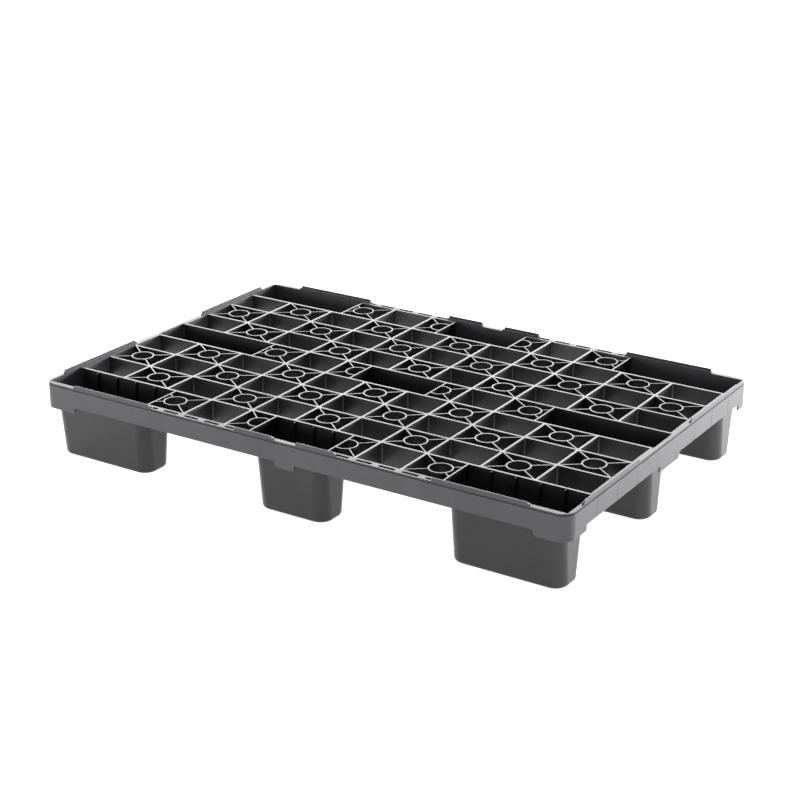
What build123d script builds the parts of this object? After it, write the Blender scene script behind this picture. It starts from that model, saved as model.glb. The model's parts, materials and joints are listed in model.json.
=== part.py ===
from build123d import *
import os

# Nestable plastic pallet. Origin at the middle of the footprint on the floor, +X along the
# long side, +Z up. All sizes are in millimetres. The real pallet is one injection moulding;
# each function of it is a solid of its own here, and neighbours meet face to face.

# Overall size
LENGTH = 1200.0
WIDTH = 800.0
DECK_Z = 158.0
CORNER_RADIUS = 28.0

# Deck grid: centre lines of the ribs, mirrored about the middle
CROSS_RIB_X = (50.0, 150.0, 250.0, 363.5, 477.0)
LONG_RIB_Y = (43.5, 126.0, 210.0, 293.0)
RIB = 5.0
GRID_DEPTH = 41.0
GRID_Z = DECK_Z - GRID_DEPTH
CELL_END_X = 586.0
CELL_END_Y = 382.0

# Stiffening rings inside every second cell
RING_RADIUS = 24.0
RING_WALL = 3.0
RING_DEPTH = 38.0
WEB = 2.5
WEB_DEPTH = 33.0

# Nesting pockets: openings in the deck above the feet
CENTRE_POCKET_HALF = 89.0
OUTER_POCKET_START = 341.0
POCKET_END_X = 591.0
POCKET_END_Y = 387.5
END_WALL = 3.0

# Feet
FOOT_WALL = 3.5
FOOT_FLOOR = 4.0
FOOT_INSET_X = 8.5
FOOT_TAPER_X = 1.5
FOOT_HALF_Y = 38.0
FOOT_TOP_RADIUS = 22.0
FOOT_BOTTOM_RADIUS = 28.0
FOOT_EDGE_RADIUS = 7.0
DRAIN_RADIUS = 6.0
COLLAR = 4.0
COLLAR_OUT = 3.0
COLLAR_IN = 3.0
STIFFENER = 2.5
STIFFENER_DEPTH = 5.0
STIFFENER_BOTTOM_Z = 100.0
STIFFENER_TOP_GAP = 1.5

# Rim: a channel round the deck, open below
SKIRT_WALL = 3.0
FLANGE = 3.5
LEDGE = 2.0
LEDGE_DROP = 4.0
POCKET_WALL = 3.0
CELL_RIM_WALL = 5.0
SLOT_PITCH = 50.0
SLOT_LENGTH = 36.0
SLOT_WIDTH = 7.5
SLOT_FIRST_X = 125.0
SLOT_COUNT = 4
SHORT_SLOT_X = 314.0
SHORT_SLOT_LENGTH = 14.0
RIM_SPLIT = 34.0

# Tabs under the skirt, as (start, end, curved end); each also stands on the opposite side,
# turned half round. The outer ones run on round the corners, past the footprint.
TAB_DROP = 12.0
TAB_CURVE = 12.0
PAST_CORNER = LENGTH / 2 + CORNER_RADIUS
LONG_SIDE_TABS = ((-PAST_CORNER, -518.0, False), (24.5, -26.0, True), (PAST_CORNER, 526.0, True))
SHORT_SIDE_TABS = ((-PAST_CORNER, -330.0, False), (-27.0, 66.0, True), (PAST_CORNER, 350.0, False))

# Lips standing on the rim, as (start, end) along a side, mirrored about its middle
LONG_SIDE_LIPS = ((26.0, 116.0), (323.0, 520.0))
SHORT_SIDE_LIPS = ((114.0, 340.0),)
LIP_RISE = 7.0
LIP_STEP = 3.0
LIP_STEP_WIDTH_LONG = 8.0
LIP_STEP_WIDTH_SHORT = 5.0
LIP_FIN = 2.5
LIP_FIN_INSET = 3.0

HALF_L = LENGTH / 2
HALF_W = WIDTH / 2
X_LINES = [-CELL_END_X] + [-x for x in reversed(CROSS_RIB_X)] + list(CROSS_RIB_X) + [CELL_END_X]
Y_LINES = [-CELL_END_Y] + [-y for y in reversed(LONG_RIB_Y)] + list(LONG_RIB_Y) + [CELL_END_Y]
POCKET_ROWS = (0, 4, 8)
EDGE_POCKET_Y = (LONG_RIB_Y[-1] + RIB / 2, POCKET_END_Y)
MIDDLE_POCKET_Y = (-LONG_RIB_Y[0] + RIB / 2, LONG_RIB_Y[0] - RIB / 2)


def block(x0, x1, y0, y1, z0, z1):
    """A box between two values on each axis."""
    size = (x1 - x0, y1 - y0, z1 - z0)
    middle = ((x0 + x1) / 2, (y0 + y1) / 2, (z0 + z1) / 2)
    return Pos(*middle) * Box(*size)


def plan(x0, x1, y0, y1):
    """A rectangle on the floor plane between two values on each axis."""
    return Pos((x0 + x1) / 2, (y0 + y1) / 2) * Rectangle(x1 - x0, y1 - y0)


def save(name, shape):
    """Write one node."""
    shape.label = name
    export_step(shape, os.path.join("parts", name + ".step"))


def save_group(name, shapes):
    """Write one node made of several separate solids."""
    solids = [solid for shape in shapes for solid in shape.solids()]
    save(name, Compound(children=solids) if len(solids) > 1 else solids[0])


def grid_interval(lines, index):
    """The clear space of a grid row or column, between the faces of its two ribs."""
    low = lines[index] + (RIB / 2 if index > 0 else 0.0)
    high = lines[index + 1] - (RIB / 2 if index < len(lines) - 2 else 0.0)
    return low, high


# ---------------------------------------------------------------- deck grid

def long_rib(y):
    """A rib along X, as long as the inside of the rim."""
    return block(-CELL_END_X, CELL_END_X, y - RIB / 2, y + RIB / 2, GRID_Z, DECK_Z)


def cross_rib(x):
    """The pieces of a rib along Y, between the long ribs, left out where a pocket opens."""
    in_pocket = abs(x) < CENTRE_POCKET_HALF or abs(x) > OUTER_POCKET_START
    pieces = []
    for row in range(len(Y_LINES) - 1):
        if in_pocket and row in POCKET_ROWS:
            continue
        low, high = grid_interval(Y_LINES, row)
        pieces.append(block(x - RIB / 2, x + RIB / 2, low, high, GRID_Z, DECK_Z))
    return pieces


def clear_columns(row, column):
    """The clear X interval of a cell, narrowed by a pocket's end wall, or None inside a pocket."""
    low, high = grid_interval(X_LINES, column)
    if row not in POCKET_ROWS:
        return low, high
    sign = 1 if low + high > 0 else -1
    near, far = sorted((abs(low), abs(high)))
    if low < 0 < high or near > OUTER_POCKET_START:
        return None
    near = max(near, CENTRE_POCKET_HALF + END_WALL)
    far = min(far, OUTER_POCKET_START - END_WALL)
    return tuple(sorted((sign * near, sign * far)))


def ring_cell(row, column):
    """A ring held by four diagonal webs to the corners of its cell, or None where there is none."""
    columns = clear_columns(row, column)
    if columns is None:
        return None
    y0, y1 = grid_interval(Y_LINES, row)
    clear = plan(columns[0], columns[1], y0, y1)
    x_low, x_high = X_LINES[column], X_LINES[column + 1]
    y_low, y_high = Y_LINES[row], Y_LINES[row + 1]
    middle = Pos((x_low + x_high) / 2, (y_low + y_high) / 2)
    dx, dy = x_high - x_low, y_high - y_low
    slope = Vector(1, 0, 0).get_angle(Vector(dx, dy, 0))
    reach = (dx * dx + dy * dy) ** 0.5
    webs = Rot(0, 0, slope) * Rectangle(reach, WEB) + Rot(0, 0, -slope) * Rectangle(reach, WEB)
    hole = Circle(RING_RADIUS - RING_WALL)
    ring = Circle(RING_RADIUS) - hole
    ring_solid = extrude(clear & (middle * ring), RING_DEPTH)
    web_solid = extrude(clear & (middle * (webs - hole)), WEB_DEPTH)
    lowered_ring = Pos(0, 0, DECK_Z - RING_DEPTH) * ring_solid
    return lowered_ring + Pos(0, 0, DECK_Z - WEB_DEPTH) * web_solid


def ring_row(row):
    """All ring cells of one row of the grid."""
    cells = [ring_cell(row, column) for column in range(row % 2, len(X_LINES) - 1, 2)]
    return [cell for cell in cells if cell is not None]


# ---------------------------------------------------------------- feet

def foot_form(x0, x1, y0, y1, inset, bottom_z, edge_radius):
    """The tapered form of a foot, shrunk all round by inset, from its flat end up to the grid."""
    middle_x, middle_y = (x0 + x1) / 2, (y0 + y1) / 2
    top_length = x1 - x0 - 2 * FOOT_INSET_X - 2 * inset
    top = RectangleRounded(top_length, y1 - y0 - 2 * inset, FOOT_TOP_RADIUS - inset)
    bottom_length = top_length - 2 * FOOT_TAPER_X
    bottom_width = 2 * FOOT_HALF_Y - 2 * inset
    bottom = RectangleRounded(bottom_length, bottom_width, FOOT_BOTTOM_RADIUS - inset)
    form = loft([Pos(0, 0, bottom_z) * bottom, Pos(0, 0, GRID_Z) * top], ruled=True)
    rim_edges = form.faces().sort_by(Axis.Z)[0].edges()
    return Pos(middle_x, middle_y) * fillet(rim_edges, edge_radius)


def foot(x0, x1, y0, y1, end_walls, stiff_side, stiffeners):
    """A hollow foot under one pocket: cup, collar, the pocket's end walls and its stiffeners."""
    cup = foot_form(x0, x1, y0, y1, 0.0, 0.0, FOOT_EDGE_RADIUS)
    collar_plan = plan(x0 - COLLAR_OUT, x1 + COLLAR_OUT, y0 - COLLAR_OUT, y1 + COLLAR_OUT)
    collar = Pos(0, 0, GRID_Z - COLLAR) * extrude(collar_plan & rounded_plan(SKIRT_WALL), COLLAR)
    cavity = foot_form(x0, x1, y0, y1, FOOT_WALL, FOOT_FLOOR, FOOT_EDGE_RADIUS - FOOT_WALL)
    drain = Pos((x0 + x1) / 2, (y0 + y1) / 2) * Cylinder(DRAIN_RADIUS, 4 * FOOT_FLOOR)
    shape = cup + collar - cavity - drain
    wall_y0 = max(y0, -CELL_END_Y)
    wall_y1 = min(y1, CELL_END_Y)
    for side in end_walls:
        start = x1 if side > 0 else x0 - END_WALL
        shape += block(start, start + END_WALL, wall_y0, wall_y1, GRID_Z, DECK_Z)
    inner_y = y1 if stiff_side > 0 else y0
    far_y = inner_y - stiff_side * STIFFENER_DEPTH
    pitch = (x1 - x0) / (stiffeners + 1)
    for number in range(stiffeners):
        x = x0 + pitch * (number + 1)
        shape += block(x - STIFFENER / 2, x + STIFFENER / 2, min(inner_y, far_y), max(inner_y, far_y),
                       STIFFENER_BOTTOM_Z, DECK_Z - STIFFENER_TOP_GAP)
    return shape


# ---------------------------------------------------------------- rim

def rounded_plan(inset):
    """The rounded rectangle of the footprint, shrunk all round."""
    return RectangleRounded(LENGTH - 2 * inset, WIDTH - 2 * inset, CORNER_RADIUS - inset)


def mirrored(shape):
    """A shape and its mirror images across the middle planes."""
    half = shape + mirror(shape, Plane.YZ)
    return half + mirror(half, Plane.XZ)


def rim_inside():
    """Plan of everything inside the rim's inner wall."""
    cells = plan(-CELL_END_X, CELL_END_X, -CELL_END_Y, CELL_END_Y)
    corner = plan(OUTER_POCKET_START, POCKET_END_X, EDGE_POCKET_Y[0], POCKET_END_Y)
    middle_long = plan(0, CENTRE_POCKET_HALF, EDGE_POCKET_Y[0], POCKET_END_Y)
    middle_short = plan(OUTER_POCKET_START, POCKET_END_X, 0, MIDDLE_POCKET_Y[1])
    return cells + mirrored(corner + middle_long + middle_short)


def rim_grooves():
    """The hollow under the flange, between the skirt and the inner wall."""
    outside = rounded_plan(SKIRT_WALL)
    pocket_x = POCKET_END_X + POCKET_WALL
    pocket_y = POCKET_END_Y + POCKET_WALL
    solid_middle = plan(-pocket_x, pocket_x, -pocket_y, pocket_y)
    slot_y = CELL_END_Y + CELL_RIM_WALL
    wide = plan(CENTRE_POCKET_HALF + END_WALL, OUTER_POCKET_START - END_WALL, slot_y, pocket_y)
    groove = outside - solid_middle + mirrored(wide)
    bridges = []
    for number in range(SLOT_COUNT + 1):
        x = SLOT_FIRST_X + (number - 0.5) * SLOT_PITCH
        bridges.append(plan(x - RIB / 2, x + RIB / 2, slot_y, HALF_W))
    groove -= mirrored(Sketch() + bridges)
    return Pos(0, 0, GRID_Z - TAB_DROP) * extrude(groove, GRID_DEPTH + TAB_DROP - FLANGE)


def rim_slots():
    """Elongated slots through the flange, between the middle and the outer feet."""
    places = [(SLOT_FIRST_X + n * SLOT_PITCH, SLOT_LENGTH) for n in range(SLOT_COUNT)]
    places.append((SHORT_SLOT_X, SHORT_SLOT_LENGTH))
    slot_y = CELL_END_Y + CELL_RIM_WALL + SLOT_WIDTH / 2
    slots = [Pos(x, slot_y) * SlotOverall(length, SLOT_WIDTH) for x, length in places]
    return Pos(0, 0, DECK_Z - 2 * FLANGE) * extrude(mirrored(Sketch() + slots), 4 * FLANGE)


def tab_outline(start, end, curved_end):
    """Side view of a tab below the skirt; one end is square, the other falls in a double curve."""
    low, high = GRID_Z - TAB_DROP, GRID_Z
    half = TAB_CURVE / 2
    bend = half * (1 - 0.5 ** 0.5)
    sign = 1 if end > start else -1
    turn = end - sign * TAB_CURVE
    if not curved_end:
        return Polyline((start, high), (end, high), (end, low), (start, low), (start, high))
    upper = ThreePointArc((end, high), (end - sign * (half - bend), high - bend),
                          (end - sign * half, high - half))
    lower = ThreePointArc((end - sign * half, high - half), (turn + sign * (half - bend), low + bend),
                          (turn, low))
    rest = Polyline((turn, low), (start, low), (start, high), (end, high))
    return Curve() + [upper, lower, rest]


def tab_mask():
    """Where the skirt reaches lower: at the four corners and in the middle of each side."""
    mask = []
    for start, end, curved in LONG_SIDE_TABS:
        face = Plane.XZ * make_face(tab_outline(start, end, curved))
        front = extrude(face, HALF_W + CORNER_RADIUS, dir=(0, -1, 0)) - block(
            -HALF_L, HALF_L, -HALF_W + CORNER_RADIUS, HALF_W, 0, DECK_Z)
        mask += [front, Rot(0, 0, 180) * front]
    for start, end, curved in SHORT_SIDE_TABS:
        face = Plane.YZ * make_face(tab_outline(start, end, curved))
        side = extrude(face, HALF_L + CORNER_RADIUS, dir=(1, 0, 0)) - block(
            -HALF_L, HALF_L - CORNER_RADIUS, -HALF_W, HALF_W, 0, DECK_Z)
        mask += [side, Rot(0, 0, 180) * side]
    return mask


def rim():
    """The whole rim: flange, skirt, inner wall, ledge, slots and tabs."""
    ring = rounded_plan(0.0) - rim_inside()
    body = Pos(0, 0, GRID_Z) * extrude(ring, GRID_DEPTH)
    body -= rim_grooves()
    body -= rim_slots()
    ledge_ring = rounded_plan(-LEDGE) - rounded_plan(LEDGE)
    body -= Pos(0, 0, DECK_Z - LEDGE_DROP) * extrude(ledge_ring, 2 * LEDGE_DROP)
    wall_ring = rounded_plan(0.0) - rounded_plan(SKIRT_WALL)
    wall = Pos(0, 0, GRID_Z - TAB_DROP) * extrude(wall_ring, TAB_DROP)
    for piece in tab_mask():
        body += wall & piece
    return body


def rim_pieces():
    """The rim cut into four corners and four straight sides."""
    whole = rim()
    x_cut = HALF_L - RIM_SPLIT
    y_cut = HALF_W - RIM_SPLIT
    z0, z1 = 0.0, DECK_Z + LIP_RISE
    pieces = {
        "rim_front": whole & block(-x_cut, x_cut, -HALF_W, -y_cut, z0, z1),
        "rim_back": whole & block(-x_cut, x_cut, y_cut, HALF_W, z0, z1),
        "rim_left": whole & block(-HALF_L, -x_cut, -y_cut, y_cut, z0, z1),
        "rim_right": whole & block(x_cut, HALF_L, -y_cut, y_cut, z0, z1),
        "rim_corner_front_left": whole & block(-HALF_L, -x_cut, -HALF_W, -y_cut, z0, z1),
        "rim_corner_front_right": whole & block(x_cut, HALF_L, -HALF_W, -y_cut, z0, z1),
        "rim_corner_back_left": whole & block(-HALF_L, -x_cut, y_cut, HALF_W, z0, z1),
        "rim_corner_back_right": whole & block(x_cut, HALF_L, y_cut, HALF_W, z0, z1),
    }
    return pieces


# ---------------------------------------------------------------- lips

def lip(start, end, outer, width):
    """A stepped lip along X: a low step inside and a thin fin at the outer edge."""
    top = DECK_Z
    step = block(start, end, outer - width, outer, top, top + LIP_STEP)
    inset = LIP_FIN_INSET
    fin_side = Polyline((start, top), (end, top), (end - inset, top + LIP_RISE),
                        (start + inset, top + LIP_RISE), (start, top))
    fin = extrude(Plane.XZ * make_face(fin_side), LIP_FIN, dir=(0, 1, 0))
    return step + Pos(0, outer - LIP_FIN, 0) * fin


def lips():
    """All lips, by node name."""
    pieces = {}
    number = 0
    spans = [(-e, -s) for s, e in reversed(LONG_SIDE_LIPS)] + list(LONG_SIDE_LIPS)
    for start, end in spans:
        number += 1
        back = lip(start, end, HALF_W - LEDGE, LIP_STEP_WIDTH_LONG)
        pieces["lip_back_%d" % number] = back
        pieces["lip_front_%d" % number] = mirror(back, Plane.XZ)
    number = 0
    spans = [(-e, -s) for s, e in reversed(SHORT_SIDE_LIPS)] + list(SHORT_SIDE_LIPS)
    for start, end in spans:
        number += 1
        left = Rot(0, 0, 90) * lip(start, end, HALF_L - LEDGE, LIP_STEP_WIDTH_SHORT)
        pieces["lip_left_%d" % number] = left
        pieces["lip_right_%d" % number] = mirror(left, Plane.YZ)
    return pieces


# ---------------------------------------------------------------- assembly

os.makedirs("parts", exist_ok=True)

for number, y in enumerate(Y_LINES[1:-1], 1):
    save("long_rib_%d" % number, long_rib(y))

for number, x in enumerate(X_LINES[1:-1], 1):
    save_group("cross_rib_%02d" % number, cross_rib(x))

for row in range(len(Y_LINES) - 1):
    save_group("ring_cells_row_%d" % (row + 1), ring_row(row))

foot_rows = {
    "front": (-EDGE_POCKET_Y[1], -EDGE_POCKET_Y[0], 1),
    "middle": (MIDDLE_POCKET_Y[0], MIDDLE_POCKET_Y[1], 0),
    "back": (EDGE_POCKET_Y[0], EDGE_POCKET_Y[1], -1),
}
foot_columns = {
    "left": (-POCKET_END_X, -OUTER_POCKET_START, (1,), 4),
    "centre": (-CENTRE_POCKET_HALF, CENTRE_POCKET_HALF, (-1, 1), 3),
    "right": (OUTER_POCKET_START, POCKET_END_X, (-1,), 4),
}
for row_name, (y0, y1, stiff_side) in foot_rows.items():
    for column_name, (x0, x1, end_walls, count) in foot_columns.items():
        count = count if stiff_side else 0
        save("foot_%s_%s" % (row_name, column_name), foot(x0, x1, y0, y1, end_walls, stiff_side, count))

for name, piece in rim_pieces().items():
    save_group(name, [piece])

for name, piece in lips().items():
    save(name, piece)
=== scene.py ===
import json
import math

import bmesh
import bpy
from mathutils import Matrix, Vector
from mathutils.bvhtree import BVHTree


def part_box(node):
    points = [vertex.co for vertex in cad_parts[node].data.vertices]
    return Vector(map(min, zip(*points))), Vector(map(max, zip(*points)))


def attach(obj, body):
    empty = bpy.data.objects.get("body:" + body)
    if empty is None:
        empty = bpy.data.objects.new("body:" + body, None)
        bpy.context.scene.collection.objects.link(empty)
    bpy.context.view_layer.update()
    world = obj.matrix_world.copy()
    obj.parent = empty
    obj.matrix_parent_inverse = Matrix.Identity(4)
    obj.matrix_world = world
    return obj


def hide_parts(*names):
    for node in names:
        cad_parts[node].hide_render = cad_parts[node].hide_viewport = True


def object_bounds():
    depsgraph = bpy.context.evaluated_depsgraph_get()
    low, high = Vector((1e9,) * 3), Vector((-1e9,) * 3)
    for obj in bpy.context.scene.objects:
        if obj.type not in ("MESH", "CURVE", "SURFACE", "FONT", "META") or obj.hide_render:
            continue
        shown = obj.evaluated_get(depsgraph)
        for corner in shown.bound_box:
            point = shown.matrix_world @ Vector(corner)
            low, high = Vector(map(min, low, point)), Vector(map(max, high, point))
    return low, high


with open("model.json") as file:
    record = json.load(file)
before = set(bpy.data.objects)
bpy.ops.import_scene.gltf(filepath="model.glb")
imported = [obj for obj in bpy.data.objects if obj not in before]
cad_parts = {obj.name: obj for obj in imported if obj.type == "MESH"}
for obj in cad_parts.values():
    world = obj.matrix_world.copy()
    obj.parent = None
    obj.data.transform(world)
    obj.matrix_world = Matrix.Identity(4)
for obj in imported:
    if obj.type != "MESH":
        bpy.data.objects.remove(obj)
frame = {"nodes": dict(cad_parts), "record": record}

cad_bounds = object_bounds()
nodes = frame["nodes"]
deck_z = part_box("long_rib_1")[1][2]

# ---------------------------------------------------------------- camera

VIEW_AZIMUTH = math.radians(32.245)
VIEW_ELEVATION = math.radians(21.203)
VIEW_DISTANCE = 3.580
VIEW_ROLL = math.radians(0.319)
VIEW_TARGET = Vector((0.0636, -0.0913, deck_z))
LENS_MM = 81.19
SENSOR_MM = 36.0


def make_camera():
    """A camera at the pallet's front right, a little above it."""
    data = bpy.data.cameras.new("view_camera")
    data.lens = LENS_MM
    data.sensor_width = SENSOR_MM
    data.clip_end = 100.0
    camera = bpy.data.objects.new("view_camera", data)
    bpy.context.scene.collection.objects.link(camera)
    flat = math.cos(VIEW_ELEVATION)
    back = Vector((math.sin(VIEW_AZIMUTH) * flat, -math.cos(VIEW_AZIMUTH) * flat, math.sin(VIEW_ELEVATION)))
    turn = (-back).to_track_quat("-Z", "Y").to_matrix().to_4x4()
    camera.matrix_world = (
        Matrix.Translation(VIEW_TARGET + back * VIEW_DISTANCE) @ turn @ Matrix.Rotation(VIEW_ROLL, 4, "Z")
    )
    bpy.context.scene.camera = camera


# ---------------------------------------------------------------- materials

# Scales of the procedural detail, in cycles per metre
CLOUD_SCALE = 7.0
STREAK_SCALE = 26.0
STREAK_STRETCH = (1.0, 1.0, 0.25)
WAVE_SCALE = 38.0
# Size of the patches of painted sheen on the rib tops
SHEEN_PATCH_SCALE = 55.0
SPECK_SCALE = 420.0

# Depths of the relief, in metres, and how strongly it shows
GRAIN_DEPTH, GRAIN_STRENGTH = 0.0004, 0.10
WAVE_DEPTH, WAVE_STRENGTH = 0.0012, 0.25

# Rib tops with a painted sheen: how far below the deck the painted sheen ends, how much lighter it makes them,
# and how much smoother the tops are
SHEEN_START, SHEEN_FULL = 0.0012, 0.0004
SHEEN_LIGHTER = 2.4
WORN_SMOOTHER = 0.07
PLASTIC_IOR = 1.5

# For each slot: darkest and lightest colour, lowest and highest roughness, strength of the painted sheen on the
# tops
FINISHES = {
    "deck_plastic": ((0.012, 0.012, 0.013, 1.0), (0.024, 0.024, 0.026, 1.0), 0.30, 0.46, 0.40),
    # The rim's colour is lighter than the feet's, though both are the same plastic: painted light on the skirt
    "rim_plastic": ((0.044, 0.044, 0.048, 1.0), (0.060, 0.060, 0.066, 1.0), 0.44, 0.56, 0.3),
    # The feet's colour is darkened far below the rim's: painted shade under the deck's overhang
    "foot_plastic": ((0.004, 0.004, 0.004, 1.0), (0.009, 0.009, 0.009, 1.0), 0.24, 0.36, 0.3),
}


class Nodes:
    """A short way to write a node tree."""

    def __init__(self, name):
        self.material = bpy.data.materials.new(name)
        self.material.use_nodes = True
        self.tree = self.material.node_tree
        self.shader = self.tree.nodes["Principled BSDF"]

    def add(self, kind, **inputs):
        node = self.tree.nodes.new(kind)
        for key, value in inputs.items():
            self.set(node, key.replace("_", " "), value)
        return node

    def set(self, node, key, value):
        socket = node.inputs[int(key)] if key.isdigit() else node.inputs[key]
        if isinstance(value, bpy.types.NodeSocket):
            self.tree.links.new(value, socket)
        else:
            socket.default_value = value

    def coordinates(self):
        return self.add("ShaderNodeTexCoord").outputs["Object"]

    def noise(self, scale, detail=3.0, stretch=(1.0, 1.0, 1.0)):
        mapping = self.add("ShaderNodeMapping", Vector=self.coordinates(), Scale=stretch)
        node = self.add("ShaderNodeTexNoise", Vector=mapping.outputs[0], Scale=scale, Detail=detail)
        return node.outputs["Fac"]

    def map(self, value, low, high, to_low, to_high):
        node = self.add("ShaderNodeMapRange")
        node.clamp = True
        for index, item in enumerate((value, low, high, to_low, to_high)):
            self.set(node, str(index), item)
        return node.outputs[0]

    def math(self, operation, a, b=0.0):
        node = self.add("ShaderNodeMath")
        node.operation = operation
        self.set(node, "0", a)
        self.set(node, "1", b)
        return node.outputs[0]

    def mix_color(self, factor, a, b):
        node = self.tree.nodes.new("ShaderNodeMix")
        node.data_type = "RGBA"
        self.set(node, "0", factor)
        self.set(node, "6", a)
        self.set(node, "7", b)
        return node.outputs[2]


def plastic(name, dark, light, rough_low, rough_high, top_sheen):
    """Recycled black plastic: cloudy colour, fine moulded grain, and smoother rib tops lightened in patches by a
    painted sheen.
    """
    n = Nodes(name)
    cloud = n.noise(CLOUD_SCALE, 4.0)
    streak = n.noise(STREAK_SCALE, 3.0, STREAK_STRETCH)
    speck = n.noise(SPECK_SCALE, 2.0)
    tone = n.math("ADD", n.math("MULTIPLY", cloud, 0.6), n.math("MULTIPLY", streak, 0.4))
    base = n.mix_color(n.map(tone, 0.35, 0.65, 0.0, 1.0), dark, light)
    geometry = n.add("ShaderNodeNewGeometry")
    split_p = n.add("ShaderNodeSeparateXYZ", Vector=geometry.outputs["Position"])
    split_n = n.add("ShaderNodeSeparateXYZ", Vector=geometry.outputs["Normal"])
    near_top = n.map(split_p.outputs[2], deck_z - SHEEN_START, deck_z - SHEEN_FULL, 0.0, 1.0)
    facing_up = n.map(split_n.outputs[2], 0.4, 0.9, 0.0, 1.0)
    top = n.math("MULTIPLY", near_top, facing_up)
    # Painted sheen: faces looking up at the deck top are lightened in patches
    sheen_patches = n.map(n.noise(SHEEN_PATCH_SCALE, 5.0), 0.45, 0.68, 0.0, 1.0)
    painted_sheen = n.math("MULTIPLY", top, n.math("MULTIPLY", n.math("ADD", sheen_patches, 0.5), top_sheen))
    sheen_color = tuple(channel * SHEEN_LIGHTER for channel in light[:3]) + (1.0,)
    color = n.mix_color(painted_sheen, base, sheen_color)
    n.set(n.shader, "Base Color", color)
    rough = n.map(n.math("ADD", n.math("MULTIPLY", cloud, 0.5), n.math("MULTIPLY", speck, 0.5)),
                  0.35, 0.65, rough_low, rough_high)
    rough = n.math("SUBTRACT", rough, n.math("MULTIPLY", top, WORN_SMOOTHER))
    n.set(n.shader, "Roughness", rough)
    n.set(n.shader, "IOR", PLASTIC_IOR)
    grain = n.add("ShaderNodeBump", Strength=GRAIN_STRENGTH, Distance=GRAIN_DEPTH, Height=speck)
    wave = n.add("ShaderNodeBump", Strength=WAVE_STRENGTH, Distance=WAVE_DEPTH,
                 Height=n.noise(WAVE_SCALE, 2.0), Normal=grain.outputs[0])
    n.set(n.shader, "Normal", wave.outputs[0])
    return n.material


def make_floor_material():
    """A matt white floor that glows a little, so that it stays white around the feet."""
    n = Nodes("studio_floor")
    n.set(n.shader, "Base Color", FLOOR_COLOR)
    n.set(n.shader, "Roughness", FLOOR_ROUGHNESS)
    n.set(n.shader, "Emission Color", (1.0, 1.0, 1.0, 1.0))
    n.set(n.shader, "Emission Strength", FLOOR_GLOW)
    return n.material


# ---------------------------------------------------------------- stage and light

FLOOR_COLOR = (0.93, 0.93, 0.93, 1.0)
FLOOR_ROUGHNESS = 0.9
FLOOR_GLOW = 0.95
FLOOR_RADIUS = 14.0
FLOOR_GAP = 0.0005
WORLD_STRENGTH = 0.45

# Name, azimuth and elevation in degrees, distance, width and height in metres, radiance
SOFTBOXES = (
    ("back_wall", 200.0, 24.0, 4.2, (6.0, 2.6), 5.6),
    ("right_back", 147.0, 6.0, 3.2, (2.6, 0.7), 44.0),
    ("front_left", -40.0, 6.5, 4.0, (2.8, 0.7), 8.4),
)


def make_floor():
    """The round studio floor, just under the feet."""
    bpy.ops.mesh.primitive_circle_add(vertices=96, radius=FLOOR_RADIUS, fill_type="NGON",
                                      location=(0.0, 0.0, -FLOOR_GAP))
    floor = bpy.context.object
    floor.name = "studio_floor"
    floor.data.materials.append(make_floor_material())


def softbox(name, azimuth, elevation, distance, size, radiance):
    """An area light aimed at the pallet; azimuth 0 is in front, 90 at the right."""
    data = bpy.data.lights.new(name, "AREA")
    data.shape = "RECTANGLE"
    data.size, data.size_y = size
    data.energy = radiance * math.pi * size[0] * size[1]
    light = bpy.data.objects.new(name, data)
    bpy.context.scene.collection.objects.link(light)
    a, e = math.radians(azimuth), math.radians(elevation)
    away = Vector((math.sin(a) * math.cos(e), -math.cos(a) * math.cos(e), math.sin(e)))
    light.location = away * distance + Vector((0.0, 0.0, deck_z))
    light.rotation_euler = away.to_track_quat("Z", "Y").to_euler()


def make_lights():
    """A white surround and three soft lights."""
    world = bpy.data.worlds.new("studio")
    world.use_nodes = True
    background = world.node_tree.nodes["Background"]
    background.inputs["Color"].default_value = (1.0, 1.0, 1.0, 1.0)
    background.inputs["Strength"].default_value = WORLD_STRENGTH
    bpy.context.scene.world = world
    for box in SOFTBOXES:
        softbox(*box)


# ---------------------------------------------------------------- the pallet

# Reading a CAD node's surface, in metres and radians
WELD = 0.000004
FLAT_ANGLE = math.radians(0.5)
SHARP_ANGLE = math.radians(40.0)
SMOOTH_ANGLE = math.radians(32.0)
TOUCH = 0.0002

# Moulded edges, fillets at the rib crossings, and sink lines in the skirt, in metres
EDGE_RADIUS = 0.0004
EDGE_RADIUS_FOOT = 0.0008
FILLET = 0.003
FILLET_STEPS = 4
SUNK = 0.0005
FLUSH = 0.00004
SINK_HALF = 0.0018
SINK_DEPTH_SHORT = 0.0005
SINK_DEPTH_LONG = 0.00025
LEDGE_DROP = 0.0045
RIB_RUN_OUT = 0.0040


def finish_name(node_name):
    """The record's material slot of a CAD node."""
    return next(part["material_slot"] for part in frame["record"]["subparts"] if part["node"] == node_name)


def world_bmesh(node):
    """The CAD node's surface in the row frame, welded and, except for the rims, freed of its triangulation."""
    mesh = bmesh.new()
    mesh.from_mesh(node.data)
    mesh.transform(node.matrix_world)
    bmesh.ops.remove_doubles(mesh, verts=mesh.verts, dist=WELD)
    if not node.name.startswith("rim"):
        bmesh.ops.dissolve_limit(mesh, angle_limit=FLAT_ANGLE, verts=mesh.verts, edges=mesh.edges)
    return mesh


def is_butted(face, tree):
    """True if the face lies against a neighbour, so that its edges are no real edges."""
    middle = face.calc_center_median()
    found, normal, _, distance = tree.find_nearest(middle)
    return found is not None and distance < TOUCH and normal.dot(face.normal) < -0.9


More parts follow.
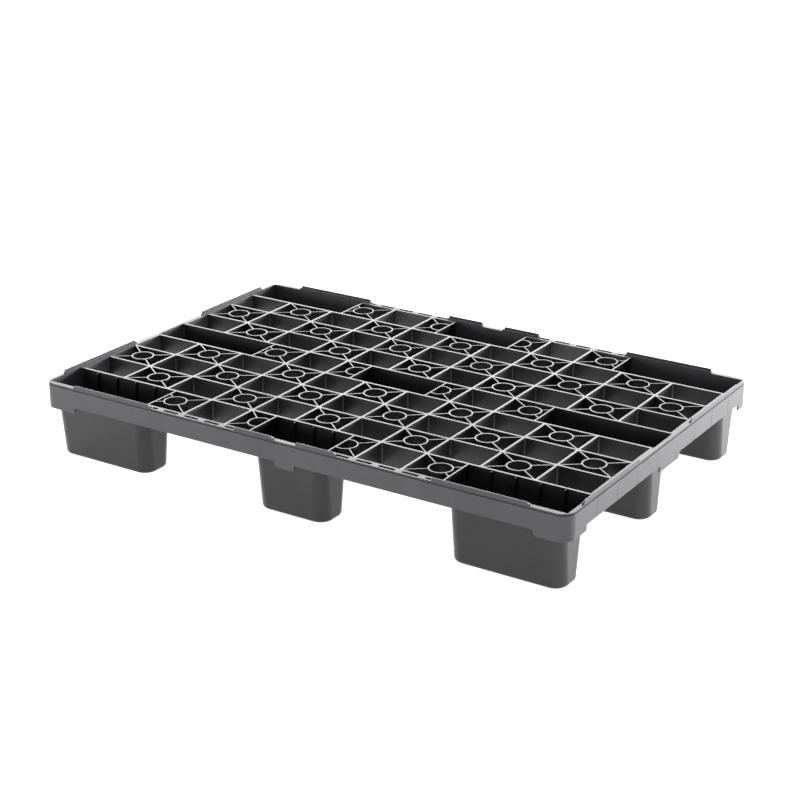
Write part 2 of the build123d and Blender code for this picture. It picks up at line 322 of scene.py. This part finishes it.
def free_edges(mesh, tree):
    """Convex sharp edges between two faces that are open to the air."""
    butted = {face.index for face in mesh.faces if is_butted(face, tree)}
    edges = []
    for edge in mesh.edges:
        if len(edge.link_faces) != 2 or edge.calc_face_angle_signed() < SHARP_ANGLE:
            continue
        if any(face.index in butted for face in edge.link_faces):
            continue
        edges.append(edge)
    return edges


def is_outermost(edge):
    """True for a level edge on the skirt's outer face; the slots' edges stay as moulded."""
    half_length, half_width = cad_bounds[1][0] - TOUCH, cad_bounds[1][1] - TOUCH
    level = abs(edge.verts[0].co.z - edge.verts[1].co.z) < TOUCH
    on_end = all(abs(vert.co.x) > half_length for vert in edge.verts)
    on_side = all(abs(vert.co.y) > half_width for vert in edge.verts)
    return level and (on_end or on_side)


def deepen(mesh, bottom):
    """Lowers the rib's bottom edge below the CAD rib's, so that no strip of floor shows under it."""
    for vert in mesh.verts:
        if vert.co.z < bottom + 2 * EDGE_RADIUS:
            vert.co.z -= RIB_RUN_OUT


def shade(mesh):
    """Smooth shading with the real corners kept."""
    for face in mesh.faces:
        face.smooth = True
    for edge in mesh.edges:
        edge.smooth = len(edge.link_faces) == 2 and edge.calc_face_angle(0.0) < SMOOTH_ANGLE


def corner_fillet(mesh, x, y, side_x, side_y, low, high):
    """A small concave fillet that fills the corner of a cell, from the grid's bottom to its top."""
    outline = [(x - side_x * SUNK, y + side_y * SUNK)]
    outline.append((x + side_x * FILLET, y + side_y * SUNK))
    for step in range(FILLET_STEPS + 1):
        turn = math.pi / 2 * step / FILLET_STEPS
        outline.append((x + side_x * FILLET * (1 - math.sin(turn)), y - side_y * FILLET * (1 - math.cos(turn))))
    outline.append((x - side_x * SUNK, y - side_y * FILLET))
    rings = [[mesh.verts.new((px, py, z)) for px, py in outline] for z in (low, high)]
    faces = [mesh.faces.new(rings[0]), mesh.faces.new(rings[1])]
    count = len(outline)
    for i in range(count):
        j = (i + 1) % count
        faces.append(mesh.faces.new((rings[0][i], rings[0][j], rings[1][j], rings[1][i])))
    bmesh.ops.recalc_face_normals(mesh, faces=faces)


def add_fillets(mesh, name):
    """Fillets where each length of a cross rib meets the long ribs or the rim."""
    low_box, high_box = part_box(name)
    spans = set()
    for face in mesh.faces:
        if abs(face.normal.z) > 0.9 and face.calc_center_median().z > deck_z - TOUCH:
            ys = [vert.co.y for vert in face.verts]
            spans.add((min(ys), max(ys)))
    for start, end in spans:
        if end - start < 10 * FILLET:
            continue
        for side_x, x in ((-1, low_box[0]), (1, high_box[0])):
            corner_fillet(mesh, x, end, side_x, 1, low_box[2], deck_z - FLUSH)
            corner_fillet(mesh, x, start, side_x, -1, low_box[2], deck_z - FLUSH)


def cut_lines(mesh, axis, places, outer, depth):
    """Shallow sink lines in a skirt, opposite the ribs that meet its inside."""
    along, across = Vector((0.0, 0.0, 0.0)), 1 - axis
    along[axis] = 1.0
    for place in places:
        for shift in (-SINK_HALF, 0.0, SINK_HALF):
            point = along * (place + shift)
            geometry = mesh.verts[:] + mesh.edges[:] + mesh.faces[:]
            bmesh.ops.bisect_plane(mesh, geom=geometry, dist=1e-7, plane_co=point, plane_no=along)
        for vert in mesh.verts:
            on_skirt = abs(abs(vert.co[across]) - outer) < TOUCH and vert.co.z < deck_z - LEDGE_DROP
            if on_skirt and abs(vert.co[axis] - place) < 1e-6:
                vert.co[across] -= math.copysign(depth, vert.co[across])


def keep_lines_crisp(mesh, axis, places):
    """Marks the three long edges of each sink line as sharp."""
    lines = [place + shift for place in places for shift in (-SINK_HALF, 0.0, SINK_HALF)]
    for edge in mesh.edges:
        first, second = (vert.co[axis] for vert in edge.verts)
        if abs(first - second) < 1e-6 and any(abs(first - line) < 1e-6 for line in lines):
            edge.smooth = False


def rib_places(prefix, axis):
    """Middles of the ribs of one kind, along one axis."""
    return [(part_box(name)[0][axis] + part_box(name)[1][axis]) / 2 for name in nodes if name.startswith(prefix)]


def moulded_piece(name, finish, tree):
    """The visual piece for one CAD node: the same form with moulded edges and details."""
    mesh = world_bmesh(nodes[name])
    edges = free_edges(mesh, tree)
    if name.startswith("rim"):
        edges = [edge for edge in edges if is_outermost(edge)]
    radius = EDGE_RADIUS_FOOT if name.startswith("foot") else EDGE_RADIUS
    bmesh.ops.bevel(mesh, geom=edges, offset=radius, offset_type="OFFSET", segments=2, profile=0.5,
                    affect="EDGES", clamp_overlap=True)
    if name.startswith("long_rib"):
        deepen(mesh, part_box(name)[0][2])
    if name.startswith("cross_rib"):
        add_fillets(mesh, name)
    lines = None
    if name in ("rim_left", "rim_right"):
        lines = (1, rib_places("long_rib", 1))
        cut_lines(mesh, *lines, cad_bounds[1][0], SINK_DEPTH_SHORT)
    if name in ("rim_front", "rim_back"):
        lines = (0, rib_places("cross_rib", 0))
        cut_lines(mesh, *lines, cad_bounds[1][1], SINK_DEPTH_LONG)
    shade(mesh)
    if lines:
        keep_lines_crisp(mesh, *lines)
    data = bpy.data.meshes.new(name + "_moulded")
    mesh.to_mesh(data)
    mesh.free()
    piece = bpy.data.objects.new(name + "_moulded", data)
    bpy.context.scene.collection.objects.link(piece)
    data.materials.append(finish)
    weighted = piece.modifiers.new("flat_faces_stay_flat", "WEIGHTED_NORMAL")
    weighted.keep_sharp = True
    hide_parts(name)
    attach(piece, "root")
    return piece


def neighbour_trees():
    """For each node, a search tree of the faces of every other node that comes near it."""
    surfaces = {}
    for name, node in nodes.items():
        matrix = node.matrix_world
        verts = [matrix @ vert.co for vert in node.data.vertices]
        surfaces[name] = (verts, [tuple(face.vertices) for face in node.data.polygons])
    trees = {}
    for name in nodes:
        low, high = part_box(name)
        verts, faces = [], []
        for other in nodes:
            other_low, other_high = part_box(other)
            apart = any(other_low[i] > high[i] + TOUCH or other_high[i] < low[i] - TOUCH for i in range(3))
            if other == name or apart:
                continue
            start = len(verts)
            verts += surfaces[other][0]
            faces += [tuple(start + i for i in face) for face in surfaces[other][1]]
        trees[name] = BVHTree.FromPolygons(verts, faces)
    return trees


def make_looks():
    """One visual piece for each CAD node, in its slot's finish."""
    finishes = {name: plastic(name + "_look", *values) for name, values in FINISHES.items()}
    trees = neighbour_trees()
    for name in sorted(nodes):
        moulded_piece(name, finishes[finish_name(name)], trees[name])


bpy.context.scene.view_settings.view_transform = "Standard"
make_camera()
make_lights()
make_floor()
make_looks()
